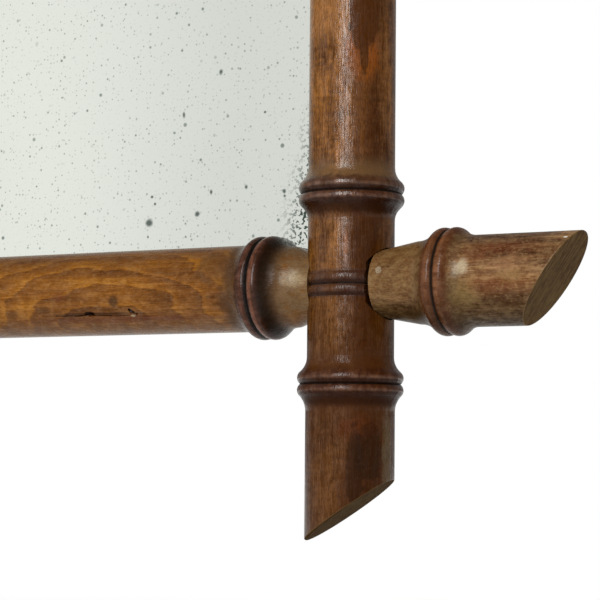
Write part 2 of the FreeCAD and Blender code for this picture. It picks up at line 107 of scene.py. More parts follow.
# the photograph's view, fitted to the edges of the rods, in metres and degrees
photoView = {
    "lens": 122.562, "sensor": 36.0, "nearest": 0.05,
    "place": (0.64447, -0.79171, -0.39384),
    "turn": (94.3247, -0.5278, 28.4509),
}


def makeCamera():
    data = bpy.data.cameras.new("photoCamera")
    data.lens = photoView["lens"]
    data.sensor_width = photoView["sensor"]
    data.clip_start = photoView["nearest"]
    camera = bpy.data.objects.new("photoCamera", data)
    scene.collection.objects.link(camera)
    turn = Euler([math.radians(angle) for angle in photoView["turn"]])
    camera.matrix_world = Matrix.LocRotScale(Vector(photoView["place"]), turn, None)
    scene.camera = camera
    print("camera placed")


studio = {
    "floorDrop": 0.25,          # the mirror hangs this far above the floor
    "floorSize": 60.0,
    "floorPaint": "#f4f4f2",
    "shadowReach": (1.8, 3.2),  # the floor shows its shadow out to here, and is plain white past it
    "floorLift": 0.12,
    "ambient": 0.42,
    # reflections are dimmer to the right and behind, far to the left, and high and low
    # each is a direction, where it starts, where it is full, and its level
    "dimmed": [((0.766, 0.643, 0.0), -0.25, 0.3, 0.3), ((-0.94, 0.34, 0.0), 0.6, 0.9, 0.3),
               ((0.0, 0.0, 1.0), 0.35, 0.75, 0.35), ((0.0, 0.0, -1.0), 0.35, 0.75, 0.35)],
    "window": {"watts": 31.0, "size": (0.6, 1.6),
               "place": (0.464, -1.965, 0.644), "aim": (0.24, 0.0, -0.32)},
    "backSoftbox": {"watts": 26.0, "size": (1.6, 1.4),
                    "place": (-0.9, 1.9, 1.1), "aim": (0.0, 0.0, 0.0)},
}


def makeStudio():
    world = bpy.data.worlds.new("studio")
    world.use_nodes = True
    scene.world = world
    tree = world.node_tree
    tree.nodes.clear()
    path = addNode(tree, "LightPath", out=None).outputs
    mirrored = addNode(tree, "Math", path["Is Glossy Ray"], path["Is Transmission Ray"], operation="MAXIMUM")
    sight = addNode(tree, "TexCoord", out="Generated")
    shown = 1.0
    for side, start, end, dim in studio["dimmed"]:
        facing = addNode(tree, "VectorMath", sight, side, operation="DOT_PRODUCT", out=1)
        facing = addNode(tree, "MapRange", facing, start, end, 1.0, dim, **soft)
        shown = addNode(tree, "Math", facing, shown, operation="MULTIPLY")
    level = addNode(tree, "Mix", {0: mirrored, 2: studio["ambient"], 3: shown})
    level = addNode(tree, "Mix", {0: path["Is Camera Ray"], 2: level, 3: 1.0})
    sky = addNode(tree, "Background", (1, 1, 1, 1), level)
    addNode(tree, "OutputWorld", sky, out=None)

    # the plate shows the white studio and not the lamps, which would stand in it as bright oblongs
    unlit = bpy.data.collections.new("unlit")
    unlit.objects.link(nodes["mirror_plate"])
    unlit.collection_objects[0].light_linking.link_state = "EXCLUDE"
    for name in ("window", "backSoftbox"):
        lamp = studio[name]
        data = bpy.data.lights.new(name, "AREA")
        data.shape = "RECTANGLE"
        data.size, data.size_y = lamp["size"]
        data.energy = lamp["watts"]
        light = bpy.data.objects.new(name, data)
        scene.collection.objects.link(light)
        light.location = lamp["place"]
        beam = Vector(lamp["aim"]) - Vector(lamp["place"])
        light.rotation_euler = beam.to_track_quat("-Z", "Y").to_euler()
        light.light_linking.receiver_collection = unlit
        light.visible_glossy = name == "window"     # the back lamp would rim the rods with white

    bpy.ops.object.select_all(action="DESELECT")
    ground = cadBox[0].z - studio["floorDrop"]
    bpy.ops.mesh.primitive_plane_add(size=studio["floorSize"], location=(0, 0, ground))
    floor = bpy.context.object
    floor.name = "floor"
    material = bpy.data.materials.new("paleFloor")
    material.use_nodes = True
    tree = material.node_tree
    tree.nodes.clear()
    path = addNode(tree, "LightPath", out=None).outputs
    seen = addNode(tree, "Math", path["Is Camera Ray"], path["Is Glossy Ray"], operation="MAXIMUM")
    seen = addNode(tree, "Math", seen, path["Is Transmission Ray"], operation="MAXIMUM")
    far = addNode(tree, "VectorMath", addNode(tree, "TexCoord", out="Object"), operation="LENGTH", out=1)
    far = addNode(tree, "MapRange", far, *studio["shadowReach"], **soft)
    coat = addNode(tree, "BsdfDiffuse", studio["floorPaint"])
    lift = addNode(tree, "Math", seen, studio["floorLift"], operation="MULTIPLY")
    near = addNode(tree, "AddShader", coat, addNode(tree, "Emission", (1, 1, 1, 1), lift))
    plain = addNode(tree, "Emission", (1, 1, 1, 1), 1.0)
    far = addNode(tree, "Math", far, seen, operation="MULTIPLY")
    addNode(tree, "OutputMaterial", addNode(tree, "MixShader", far, near, plain), out=None)
    floor.data.materials.append(material)
    print("studio lit")


# The bottom rail has split along the grain, and three chips have broken out of the edge of the split
# each cut has its middle along the rail, degrees round from the front, size (along, deep, wide)
# and slope in degrees
split = {
    "radius": 19.5, "merge": 0.001, "smooth": 35.0,
    "cracks": [
        {"along": 101.0, "turn": -34.9, "size": (12.0, 6.0, 0.4), "slope": 1.5, "seed": 3},
        {"along": 110.5, "turn": -35.0, "size": (10.0, 7.0, 0.6), "slope": -2.5, "seed": 6},
        {"along": 120.0, "turn": -36.0, "size": (12.0, 7.0, 0.5), "slope": 2.0, "seed": 5},
        {"along": 130.0, "turn": -36.8, "size": (11.0, 6.0, 0.35), "slope": -2.0, "seed": 8},
    ],
    "crackCuts": 9, "crackJag": 0.3,            # the jag is a share of the crack's width
    "chips": [                                  # half sizes
        {"along": 113.8, "turn": -33.4, "size": (3.2, 1.3, 1.5), "slope": 0.0, "seed": 4},
        {"along": 137.0, "turn": -31.0, "size": (2.7, 1.1, 1.1), "slope": 42.0, "seed": 9},
        {"along": 139.0, "turn": -35.0, "size": (1.4, 0.8, 0.6), "slope": 0.0, "seed": 11},
    ],
    "chipRounds": 3, "chipJag": 0.3,
}


def cutSplit():
    bpy.ops.object.select_all(action="DESELECT")
    rail = nodes["rail_bottom"].copy()
    rail.data = rail.data.copy()
    rail.name = "bottomRail"
    for key in list(rail.keys()):
        del rail[key]
    rail.parent = None
    scene.collection.objects.link(rail)
    bpy.context.view_layer.objects.active = rail
    rail.select_set(True)
    bpy.ops.mesh.customdata_custom_splitnormals_clear()
    bpy.ops.object.mode_set(mode="EDIT")
    bpy.ops.mesh.select_all(action="SELECT")
    bpy.ops.mesh.remove_doubles(threshold=split["merge"] * mm)
    bpy.ops.object.mode_set(mode="OBJECT")
    for kind in ("cracks", "chips"):
        for cut in split[kind]:
            bpy.ops.object.select_all(action="DESELECT")
            if kind == "cracks":
                bpy.ops.mesh.primitive_cube_add(size=1.0)
                jag = split["crackJag"] * cut["size"][2]
            else:
                bpy.ops.mesh.primitive_ico_sphere_add(subdivisions=split["chipRounds"], radius=1.0)
                jag = split["chipJag"]
            cutter = bpy.context.object
            cutter.scale = [s * mm for s in cut["size"]]
            bpy.ops.object.transform_apply(location=False, rotation=False)
            bpy.ops.object.mode_set(mode="EDIT")
            bpy.ops.mesh.select_all(action="SELECT")
            if kind == "cracks":
                bpy.ops.mesh.subdivide(number_cuts=split["crackCuts"])
            bpy.ops.transform.vertex_random(offset=jag * mm, seed=cut["seed"])
            bpy.ops.object.mode_set(mode="OBJECT")
            turn = math.radians(cut["turn"])
            cutter.rotation_euler = (-turn, math.radians(cut["slope"]), 0)
            cutter.location = (cut["along"] * mm, -split["radius"] * math.cos(turn) * mm,
                               (-railAxis + split["radius"] * math.sin(turn)) * mm)
            bpy.context.view_layer.objects.active = rail
            bite = rail.modifiers.new("bite", "BOOLEAN")
            bite.operation = "DIFFERENCE"
            bite.solver = "MANIFOLD"
            bite.object = cutter
            bpy.ops.object.modifier_apply(modifier="bite")
            bpy.data.objects.remove(cutter)
    bpy.ops.object.select_all(action="DESELECT")
    rail.select_set(True)
    bpy.context.view_layer.objects.active = rail
    bpy.ops.object.shade_smooth_by_angle(angle=math.radians(split["smooth"]))
    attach(rail, "frame")
    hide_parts("rail_bottom")
    print("bottom rail split,", len(rail.data.polygons), "faces")
    return rail


# Turned beech under an old brown stain: fine rays along the rod, painted black shade in the grooves of the
# rings, scorched on one side in the bamboo fashion, and rubbed through to a khaki undercoat on the ends
beech = {
    "layers": {
        "fibre": ((0.5, 0.5, 9.0), 2.0, 0.5),       # drawn wide enough to show
        "rays": ((0.45, 0.45, 2.4), 1.0, 0.5),      # the short dark rays that tell beech from other woods
        "streak": ((2.4, 2.4, 80.0), 3.0, 0.5),     # stain drawn out along the grain
        "blotch": ((14.0, 14.0, 30.0), 3.0, 0.5),
        "mottle": ((3.2, 3.2, 4.5), 4.0, 0.65),
        "ripple": ((8.0, 8.0, 1.5), 2.0, 0.5),      # bars across the grain
        "fleck": ((0.9, 0.9, 1.3), 3.0, 0.6),       # rubbed and dirty specks of the old polish
        "drift": ((12.0, 12.0, 30.0), 3.0, 0.5),
    },
    "toneShares": {"fibre": 0.75, "streak": 0.85, "blotch": 1.3, "mottle": 0.8},
    "seedSteps": (37.0, 53.0, 211.0),               # millimetres in the wood from rod to rod
    "ior": 1.5,
}

# one dictionary for each kind of rod: its rings and bands along it, and its colours
stileLook = {
    "upright": True, "radius": 19.0, "rings": (280.2, 363.2, 93.4), "bands": (320.4,), "cutFrom": 380.0,
    "rough": 0.2, "gloss": 0.35, "bump": 0.09,
    "pale": "#9a601b", "mid": "#74450a", "dark": "#4a2704", "spread": 0.35, "figure": 0.3, "ripple": 0.45,
    "ray": "#341b06", "rayShare": 0.45, "fleckShare": 0.3, "rubShare": 0.03,
    "scorch": "#3c1b03", "scorchReach": (5.0, 12.0), "scorchShare": 0.74,
    "dusk": "#3c200d", "duskReach": (280.0, 400.0), "duskShare": 0.72,
    "below": "#29140a", "belowReach": (-0.02, -0.4), "belowShare": 0.8,
    "under": "#6e5238", "underShare": 0.0, "crownShare": 0.0,
    "bead": "#391b0c", "beadShare": 0.82, "crest": "#774a2b", "ridgeRubAndHighlight": "#8a6650", "ridgeShare": 0.2,
    "cove": "#6e5232", "coveOut": "#4c2a12", "coveReach": (19.0, 9.0), "coveShare": 0.65,
    "groove": "#140b06", "grooveShade": (0.95, 0.35), "flankShadeShare": 0.0, "lipHighlightShare": 0.0, "brokenShare": 0.0,
    "worn": "#8d7048", "wornShare": 0.0, "cut": "#46340f",
}
levelLook = {       # what the rails and the finials share
    "upright": False, "radius": 19.5, "bands": (), "gloss": 0.17,
    "scorch": "#6a4424", "scorchReach": (40.0, 50.0), "scorchShare": 0.0,
    "dusk": "#4a2d17", "duskReach": (900.0, 901.0), "duskShare": 0.0,
    "belowReach": (-0.15, -0.75),
}
railLook = levelLook | {
    "rings": (199.3, 0.0), "cutFrom": 900.0, "rough": 0.27, "bump": 0.07,
    "pale": "#a66b1c", "mid": "#7f4c12", "dark": "#583210", "spread": 0.5, "figure": 0.95, "ripple": 0.0,
    "ray": "#44260d", "rayShare": 0.28, "fleckShare": 0.2, "rubShare": 0.1,
    "below": "#29140a", "belowShare": 0.0,
    "under": "#664118", "underShare": 0.7, "crownShare": 0.55,
    "neck": "#6c5336", "neckReach": (204.0, 212.0), "neckLow": (-24.0, -13.0),
    "bead": "#361b11", "beadShare": 0.85, "crest": "#683f31", "ridgeRubAndHighlight": "#85523a", "ridgeShare": 0.25,
    "cove": "#46301d", "coveOut": "#46301d", "coveReach": (20.0, 12.0), "coveShare": 0.85,
    "groove": "#120a06", "grooveShade": (1.3, 0.7), "flankShadeShare": 0.85, "lipHighlightShare": 0.45, "brokenShare": 1.0,
    "worn": "#a08a66", "wornShare": 0.1, "cut": "#66563d",
}
finialLook = levelLook | {
    "rings": (288.6,), "cutFrom": 300.0, "rough": 0.3, "bump": 0.09,
    "pale": "#a97f52", "mid": "#6f4b2c", "dark": "#3f230e", "spread": 0.35, "figure": 0.1, "ripple": 0.1,
    "ray": "#412a17", "rayShare": 0.14, "fleckShare": 0.45, "rubShare": 0.4,
    "below": "#1f1409", "belowShare": 0.5,
    "under": "#453013", "underShare": 0.9, "crownShare": 0.2,
    "neck": "#6f4f2a", "neckReach": (284.0, 279.0), "neckLow": (-14.0, -4.0),
    "bead": "#50260e", "beadShare": 0.75, "crest": "#7d4a28", "ridgeRubAndHighlight": "#8d5c38", "ridgeShare": 0.25,
    "cove": "#543d25", "coveOut": "#543d25", "coveReach": (15.0, 9.0), "coveShare": 0.45,
    "groove": "#23170e", "grooveShade": (0.95, 0.35), "flankShadeShare": 0.0, "lipHighlightShare": 0.3, "brokenShare": 0.0,
    "worn": "#967a50", "wornShare": 0.34, "cut": "#66502f",
}

# marks on the rods of the lower right corner: (round from the front, along) and half sizes in millimetres,
# tint, how soft the edge is, how ragged, and how strong
stileMarks = [
    # a painted highlight on the front of the stile above the ring
    ((-3.0, -203.0), (12.0, 10.0), "#b97c3e", 0.6, 0.5, 0.4),
    ((13.8, -220.0), (7.2, 13.0), "#824202", 0.35, 0.5, 0.8),
    ((11.8, -198.0), (4.4, 23.0), "#4a2606", 0.07, 0.2, 0.95),
    ((17.0, -194.0), (4.6, 24.0), "#4a2606", 0.07, 0.2, 0.95),
    ((14.0, -219.0), (2.1, 11.2), "#472406", 0.12, 0.35, 0.95),
    ((7.5, -209.8), (0.7, 2.4), "#2e2622", 0.4, 0.4, 0.7),
    ((3.7, -248.9), (1.2, 3.0), "#3a2a20", 0.7, 0.5, 0.6),
    ((11.0, -246.0), (6.0, 20.0), "#7d4c1d", 0.7, 1.0, 0.35),
    ((17.0, -300.0), (7.0, 18.0), "#301506", 0.6, 0.5, 0.5),
    ((6.5, -304.0), (1.0, 6.0), "#8d5224", 0.6, 0.3, 0.6),
    ((12.5, -382.5), (8.5, 5.0), "#552809", 0.5, 1.0, 0.7),
    ((11.0, -400.0), (3.6, 18.0), "#241206", 0.12, 0.5, 0.6),
    ((17.5, -393.0), (6.5, 13.0), "#241206", 0.3, 0.7, 0.65),
    # a painted reflection along the right edge of the stile's lower end
    ((27.5, -395.0), (3.2, 20.0), "#5f4c2c", 0.4, 0.7, 0.65),
]
railMarks = [
    ((-5.6, 128.3), (2.5, 2.5), "#3d2612", 0.45, 0.25, 0.8),
    ((9.0, 178.5), (8.5, 7.0), "#573719", 0.3, 0.4, 0.6),
    ((-2.5, 98.3), (2.0, 3.5), "#622b10", 0.7, 0.4, 0.5),
    ((-8.4, 88.2), (1.5, 3.4), "#4b2f15", 0.6, 0.4, 0.6),
    ((-10.4, 71.0), (1.8, 3.0), "#4d2f14", 0.6, 0.4, 0.5),
    ((-14.4, 130.0), (1.8, 44.0), "#572610", 0.7, 0.4, 0.65),
    ((-11.4, 117.0), (0.9, 22.0), "#2a1409", 0.7, 0.4, 0.8),
    # a painted highlight on the neck beside the stile
    ((3.0, 220.5), (3.6, 4.6), "#bba883", 0.85, 1.0, 0.5),
    # khaki wear with painted shade on the lower side of the neck
    ((-8.0, 222.0), (4.5, 6.0), "#6b5434", 0.85, 0.8, 0.5),
    ((-12.7, 137.2), (0.55, 1.0), "#b5a486", 0.7, 0.8, 0.7),
]
finialMarks = [
    ((4.2, 300.5), (3.2, 3.2), "#c2b193", 0.6, 1.3, 0.75),
    ((-7.1, 301.0), (6.5, 6.5), "#8f7443", 0.6, 1.2, 0.6),
    ((-3.7, 317.0), (4.2, 13.0), "#7a4520", 0.7, 0.8, 0.55),
    ((13.3, 316.7), (3.2, 14.0), "#632f17", 0.7, 0.8, 0.6),
    # a painted highlight on the top of the finial's body
    ((5.0, 321.0), (3.6, 8.0), "#a97c55", 0.7, 0.9, 0.45),
    ((0.2, 323.0), (2.4, 4.6), "#8d6c3f", 0.7, 0.8, 0.55),
    ((-9.0, 322.0), (3.0, 9.0), "#4a2e18", 0.7, 0.9, 0.6),
    ((9.0, 307.0), (3.0, 5.0), "#6b3a1e", 0.7, 0.9, 0.5),
    ((18.3, 344.0), (0.6, 0.9), "#e8e0d0", 0.3, 0.2, 0.9),
]


# marks of the same kinds strewn over the rods that the photograph doesn't show
strewn = {
    "order": ("glow", "scorch", "spot", "spot", "rub", "rub"),
    # half width, half length, tint, how strong
    "glow": (7.0, 15.0, "#8c4c10", 0.7), "scorch": (4.0, 17.0, "#3b1c0b", 0.85),
    "spot": (2.0, 3.0, "#3d2612", 0.7), "rub": (3.0, 5.0, "#9a7f55", 0.45),
    "round": (-24.0, 24.0), "vary": (0.7, 1.3), "past": 12.0, "fade": 0.3, "ragged": 0.5,
}


def strewMarks(seed, start, end):
    draw = random.Random(seed)
    marks = []
    for kind in strewn["order"]:
        wide, long, tint, share = strewn[kind]
        at = (draw.uniform(*strewn["round"]), draw.uniform(start, end))
        if kind == "scorch":
            glow = marks[0][0]
            at = (glow[0], glow[1] + strewn["past"])        # in the glow that came before it
        long = long * draw.uniform(*strewn["vary"])
        wide = wide * draw.uniform(*strewn["vary"])
        marks.append((at, (wide, long), tint, strewn["fade"], strewn["ragged"], share))
    return marks


markEdge = {"Scale": 0.28, "Detail": 3.0, "Roughness": 0.6}     # lumps of about 3.6 mm


# stains and rubbed patches drawn on the unrolled surface
def paintMarks(tree, colour, unrolled, marks):
    edge = addNode(tree, "TexNoise", markEdge | {"Vector": unrolled})
    edge = addNode(tree, "Math", edge, 0.5, operation="SUBTRACT")
    for at, (wide, long), tint, fade, ragged, share in marks:
        off = addNode(tree, "VectorMath", unrolled, at + (0,), operation="SUBTRACT")
        off = addNode(tree, "VectorMath", off, (1 / wide, 1 / long, 0), operation="MULTIPLY")
        away = addNode(tree, "VectorMath", off, operation="LENGTH", out=1)
        away = addNode(tree, "Math", edge, 2 * ragged, away, operation="MULTIPLY_ADD")
        inside = addNode(tree, "MapRange", away, 1 + fade, 1 - fade, 0.0, share, **soft)
        colour = addNode(tree, "Mix", {0: inside, 6: colour, 7: tint}, **paint)
    return colour


# distance along the rod to the nearest of these stations, which are the same on both halves of the rod
def nearest(tree, half, stations):
    found = None
    for station in stations:
        gap = addNode(tree, "Math", half, station, operation="SUBTRACT")
        gap = addNode(tree, "Math", gap, operation="ABSOLUTE")
        found = gap if found is None else addNode(tree, "Math", found, gap, operation="MINIMUM")
    return found


# where each spot of a rod lies, in millimetres: half is from the middle of the rod, around is round from
# the front, depth is from the axis, and unrolled is the flattened surface; and the grain of the wood there
def measureRod(tree, place, look, axis, side, seed):
    apart = addNode(tree, "SeparateXYZ", place, out=None).outputs
    along, across = (apart["Z"], apart["X"]) if look["upright"] else (apart["X"], apart["Z"])
    lateral = addNode(tree, "Math", across, side, -axis * side, operation="MULTIPLY_ADD")
    front = addNode(tree, "Math", apart["Y"], -1.0, operation="MULTIPLY")
    around = addNode(tree, "Math", lateral, front, operation="ARCTAN2")
    around = addNode(tree, "Math", around, look["radius"], operation="MULTIPLY")
    section = addNode(tree, "CombineXYZ", lateral, front)
    grain = addNode(tree, "CombineXYZ", lateral, apart["Y"], along)
    grain = addNode(tree, "VectorMath", grain, [seed * step for step in beech["seedSteps"]], operation="ADD")
    normal = addNode(tree, "NewGeometry", out="Normal")
    facing = addNode(tree, "SeparateXYZ", normal, out=None).outputs
    rod = drawLayers(tree, grain, beech["layers"])
    rod["back"] = apart["Y"]
    rod["half"] = addNode(tree, "Math", along, operation="ABSOLUTE")
    rod["around"] = around
    rod["unrolled"] = addNode(tree, "CombineXYZ", around, along)
    rod["depth"] = addNode(tree, "VectorMath", section, operation="LENGTH", out=1)
    rod["upward"] = facing["Z"]
    rod["endward"] = addNode(tree, "Math", facing["Z" if look["upright"] else "X"], operation="ABSOLUTE")
    return rod


# layers of growth: ovals round each heart, darkening slowly and ending in a thin pale line
growth = {
    "heartLong": 1.8, "layerGap": 8.5,          # ovals longer than wide, and millimetres from layer to layer
    "wander": 14.0, "fray": 2.0,                # millimetres
    "paleLine": (0.82, 0.92), "darkShare": -0.45, "lineShare": 0.55, "lift": 0.14,
}


def stainWood(tree, rod, look, hearts):
    near = None
    for heart in hearts:
        off = addNode(tree, "VectorMath", rod["unrolled"], heart + (0,), operation="SUBTRACT")
        off = addNode(tree, "VectorMath", off, (1, 1 / growth["heartLong"], 0), operation="MULTIPLY")
        away = addNode(tree, "VectorMath", off, operation="LENGTH", out=1)
        near = away if near is None else addNode(tree, "Math", near, away, operation="MINIMUM")
    near = addNode(tree, "Math", rod["drift"], growth["wander"], near, operation="MULTIPLY_ADD")
    near = addNode(tree, "Math", rod["fibre"], growth["fray"], near, operation="MULTIPLY_ADD")
    layer = addNode(tree, "Math", near, 1 / growth["layerGap"], operation="MULTIPLY")
    layer = addNode(tree, "Math", layer, operation="FRACT")
    line = addNode(tree, "MapRange", layer, *growth["paleLine"], **soft)

    # tone: how light each spot of the wood has taken the stain
    parts = [(rod[key], share) for key, share in beech["toneShares"].items()]
    parts.append((rod["ripple"], look["ripple"]))
    parts.append((layer, growth["darkShare"] * look["figure"]))
    parts.append((line, growth["lineShare"] * look["figure"]))
    tone = -sum(beech["toneShares"].values()) / 2 + 0.5
    for part, share in parts:
        tone = addNode(tree, "Math", part, share, tone, operation="MULTIPLY_ADD")
    tone = addNode(tree, "Math", tone, growth["lift"] * look["figure"] - look["ripple"] / 2, operation="ADD")
    ramp = addNode(tree, "ValToRGB", tone, out=None)
    stops = ramp.color_ramp.elements
    stops[0].position = 0.5 - look["spread"]
    stops[0].color = toLinear(look["dark"])
    stops[1].position = 0.5 + look["spread"]
    stops[1].color = toLinear(look["pale"])
    stops.new(0.5).color = toLinear(look["mid"])
    return ramp.outputs[0]


# what use and time did: wander and fray are how far an edge strays, in millimetres, and patches and
# flecks are the part of the noise that shows
wear = {
    "duskWander": 50.0,
    "scorchWander": 22.0, "scorchFray": 7.0, "scorchShift": 14.5, "scorchPast": (29.0, 18.0, 0.2, 1.0),
    "lowWander": 12.0, "underReach": (-1.0, -18.0), "crownReach": (16.0, 26.0),
    "neckShare": 0.85, "neckPatches": (0.36, 0.54, 0.45, 1.0), "rubbedPatches": (0.42, 0.72),
    "brokenDepth": (0.25, 0.9), "ringRoom": (12.0, 14.0), "brokenFront": (-4.0, -6.0),
    "rubFlecks": (0.55, 0.66), "dirtFlecks": (0.43, 0.34), "rayEdge": (0.52, 0.62),
}


def wearWood(tree, rod, look, colour, marks):
    half, around, mottle = rod["half"], rod["around"], rod["mottle"]
    # darker towards the ends, and the scorched side with a ragged edge
    dusk = addNode(tree, "Math", rod["blotch"], wear["duskWander"], half, operation="MULTIPLY_ADD")
    dusk = addNode(tree, "MapRange", dusk, *look["duskReach"], 0.0, look["duskShare"], **soft)
    torn = addNode(tree, "Math", rod["blotch"], wear["scorchWander"], around, operation="MULTIPLY_ADD")
    torn = addNode(tree, "Math", rod["fibre"], wear["scorchFray"], torn, operation="MULTIPLY_ADD")
    torn = addNode(tree, "Math", torn, wear["scorchShift"], operation="SUBTRACT")
    torn = addNode(tree, "MapRange", torn, *look["scorchReach"], 0.0, look["scorchShare"], **soft)
    past = addNode(tree, "MapRange", around, *wear["scorchPast"], **soft)
    torn = addNode(tree, "Math", torn, past, operation="MULTIPLY")
    # a level rod carries painted shade and dust below, and is darker along its top
    low = addNode(tree, "Math", mottle, wear["lowWander"], around, operation="MULTIPLY_ADD")
    under = addNode(tree, "MapRange", low, *wear["underReach"], 0.0, look["underShare"], **soft)
    crown = addNode(tree, "MapRange", low, *wear["crownReach"], 0.0, look["crownShare"], **soft)
    coats = [(dusk, look["dusk"]), (torn, look["scorch"]), (under, look["under"]), (crown, look["dark"])]
    if "neck" in look:
        neck = addNode(tree, "MapRange", half, *look["neckReach"], 0.0, wear["neckShare"], **soft)
        upper = addNode(tree, "MapRange", around, *look["neckLow"], **soft)
        neck = addNode(tree, "Math", neck, upper, operation="MULTIPLY")
        patches = addNode(tree, "MapRange", mottle, *wear["neckPatches"], **soft)
        neck = addNode(tree, "Math", neck, patches, operation="MULTIPLY")
        coats.append((neck, look["neck"]))
    rubbed = addNode(tree, "MapRange", mottle, *wear["rubbedPatches"], 0.0, look["wornShare"], **soft)
    coats.append((rubbed, look["worn"]))
    # cracks: painted shade where the wood is broken below its turned face, on the front, clear of the ring
    sunk = [look["radius"] - depth for depth in wear["brokenDepth"]]
    broken = addNode(tree, "MapRange", rod["depth"], *sunk, 0.0, look["brokenShare"], **soft)
    clear = [look["rings"][0] - room for room in wear["ringRoom"]]
    inner = addNode(tree, "MapRange", half, *clear, **soft)
    broken = addNode(tree, "Math", broken, inner, operation="MULTIPLY")
    shown = addNode(tree, "MapRange", rod["back"], *wear["brokenFront"], **soft)
    broken = addNode(tree, "Math", broken, shown, operation="MULTIPLY")
    coats.append((broken, look["groove"]))
    for mask, tint in coats:
        colour = addNode(tree, "Mix", {0: mask, 6: colour, 7: tint}, **paint)
    colour = paintMarks(tree, colour, rod["unrolled"], marks)
    # specks of rubbed polish and of dirt, and the rays of the beech
    rubs = addNode(tree, "MapRange", rod["fleck"], *wear["rubFlecks"], 0.0, look["rubShare"], **soft)
    specks = addNode(tree, "MapRange", rod["fleck"], *wear["dirtFlecks"], 0.0, look["fleckShare"], **soft)
    fine = addNode(tree, "MapRange", rod["rays"], *wear["rayEdge"], 0.0, look["rayShare"], **soft)
    for mask, tint in ((rubs, look["worn"]), (specks, look["ray"]), (fine, look["ray"])):
        colour = addNode(tree, "Mix", {0: mask, 6: colour, 7: tint}, **paint)
    rod["dusk"] = dusk
    return colour


# rings: stain lies darker in the coves and on the beads, and the grooves are painted black as shade
# reaches are millimetres from the groove, and patches are the part of the mottle that shows
turning = {
    "ragged": 4.0, "outer": (-3.0, 3.0), "beadReach": (9.4, 6.6), "crestPatches": (0.42, 0.7, 0.0, 0.45),
    "beadTop": 2.7, "ridgeReach": (1.0, 0.2), "ridgePatches": (0.3, 0.6),
    "flankFrom": (3.6, 6.4), "flankTo": (13.0, 7.5), "lipFrom": (0.9, 1.5), "lipTo": (3.6, 2.4),
    "strapReach": (6.6, 5.2), "strapShare": 0.65, "bandCleft": (0.6, 0.25),
}


def paintRings(tree, rod, look, colour):
    half, mottle = rod["half"], rod["mottle"]
    ring = nearest(tree, half, look["rings"])
    ragged = addNode(tree, "Math", mottle, turning["ragged"], ring, operation="MULTIPLY_ADD")
    cove = addNode(tree, "MapRange", ragged, *look["coveReach"], 0.0, look["coveShare"], **soft)
    beside = addNode(tree, "Math", half, look["rings"][0], operation="SUBTRACT")
    outer = addNode(tree, "MapRange", beside, *turning["outer"], **soft)
    coveTone = addNode(tree, "Mix", {0: outer, 6: look["cove"], 7: look["coveOut"]}, **paint)
    bead = addNode(tree, "MapRange", ragged, *turning["beadReach"], 0.0, look["beadShare"], **soft)
    crest = addNode(tree, "MapRange", mottle, *turning["crestPatches"], **soft)
    crest = addNode(tree, "Math", bead, crest, operation="MULTIPLY")
    # the polish is rubbed off in patches along the tops of the beads, and the pale patches there are also a
    # painted highlight
    ridgeRubAndHighlight = addNode(tree, "Math", ring, turning["beadTop"], operation="SUBTRACT")
    ridgeRubAndHighlight = addNode(tree, "Math", ridgeRubAndHighlight, operation="ABSOLUTE")
    ridgeRubAndHighlight = addNode(tree, "MapRange", ridgeRubAndHighlight, *turning["ridgeReach"], 0.0, look["ridgeShare"], **soft)
    patches = addNode(tree, "MapRange", mottle, *turning["ridgePatches"], **soft)
    ridgeRubAndHighlight = addNode(tree, "Math", ridgeRubAndHighlight, patches, operation="MULTIPLY")
    # beside the groove nearest to the corner: a painted highlight on the bead's inner edge, then painted
    # shade on the bead's steep outer side
    flankShade = addNode(tree, "MapRange", beside, *turning["flankFrom"], **soft)
    flankEnd = addNode(tree, "MapRange", beside, *turning["flankTo"], 0.0, look["flankShadeShare"], **soft)
    flankShade = addNode(tree, "Math", flankShade, flankEnd, operation="MULTIPLY")
    lipHighlight = addNode(tree, "MapRange", beside, *turning["lipFrom"], **soft)
    lipEnd = addNode(tree, "MapRange", beside, *turning["lipTo"], 0.0, look["lipHighlightShare"], **soft)
    lipHighlight = addNode(tree, "Math", lipHighlight, lipEnd, operation="MULTIPLY")
    lipHighlight = addNode(tree, "Math", lipHighlight, patches, operation="MULTIPLY")
    coats = [(cove, coveTone), (bead, look["bead"]), (crest, look["crest"]), (ridgeRubAndHighlight, look["ridgeRubAndHighlight"]),
             (flankShade, look["groove"]), (lipHighlight, look["ridgeRubAndHighlight"])]
    # painted shade: the grooves of the rings and the line in the band are coloured near black
    grooveShade = addNode(tree, "MapRange", ring, *look["grooveShade"], **soft)
    raised = bead
    if look["bands"]:
        band = nearest(tree, half, look["bands"])
        strap = addNode(tree, "MapRange", band, *turning["strapReach"], 0.0, turning["strapShare"], **soft)
        coats.append((strap, look["bead"]))
        raised = addNode(tree, "Math", bead, strap, operation="MAXIMUM")
        bandCleft = addNode(tree, "MapRange", band, *turning["bandCleft"], **soft)
        grooveShade = addNode(tree, "Math", grooveShade, bandCleft, operation="MAXIMUM")
    coats.append((grooveShade, look["groove"]))
    for mask, tint in coats:
        colour = addNode(tree, "Mix", {0: mask, 6: colour, 7: tint}, **paint)
    rod["bead"], rod["raised"], rod["grooveShade"] = bead, raised, grooveShade
    return colour


# slanted sawn ends: greyer end grain with fine saw lines, rubbed pale along the arris
# facing is how squarely a face looks along the rod
ends = {
    "edge": 0.5, "sawnFacing": (0.45, 0.6),
    "arrisFrom": (0.12, 0.3), "arrisTo": (0.62, 0.4), "arrisShare": 0.3,
    "layers": {"saw": ((14.0, 0.9, 14.0), 2.0, 0.5)}, "sawMottle": 0.8, "sawLines": (0.7, 1.1, 0.0, 0.8),
}


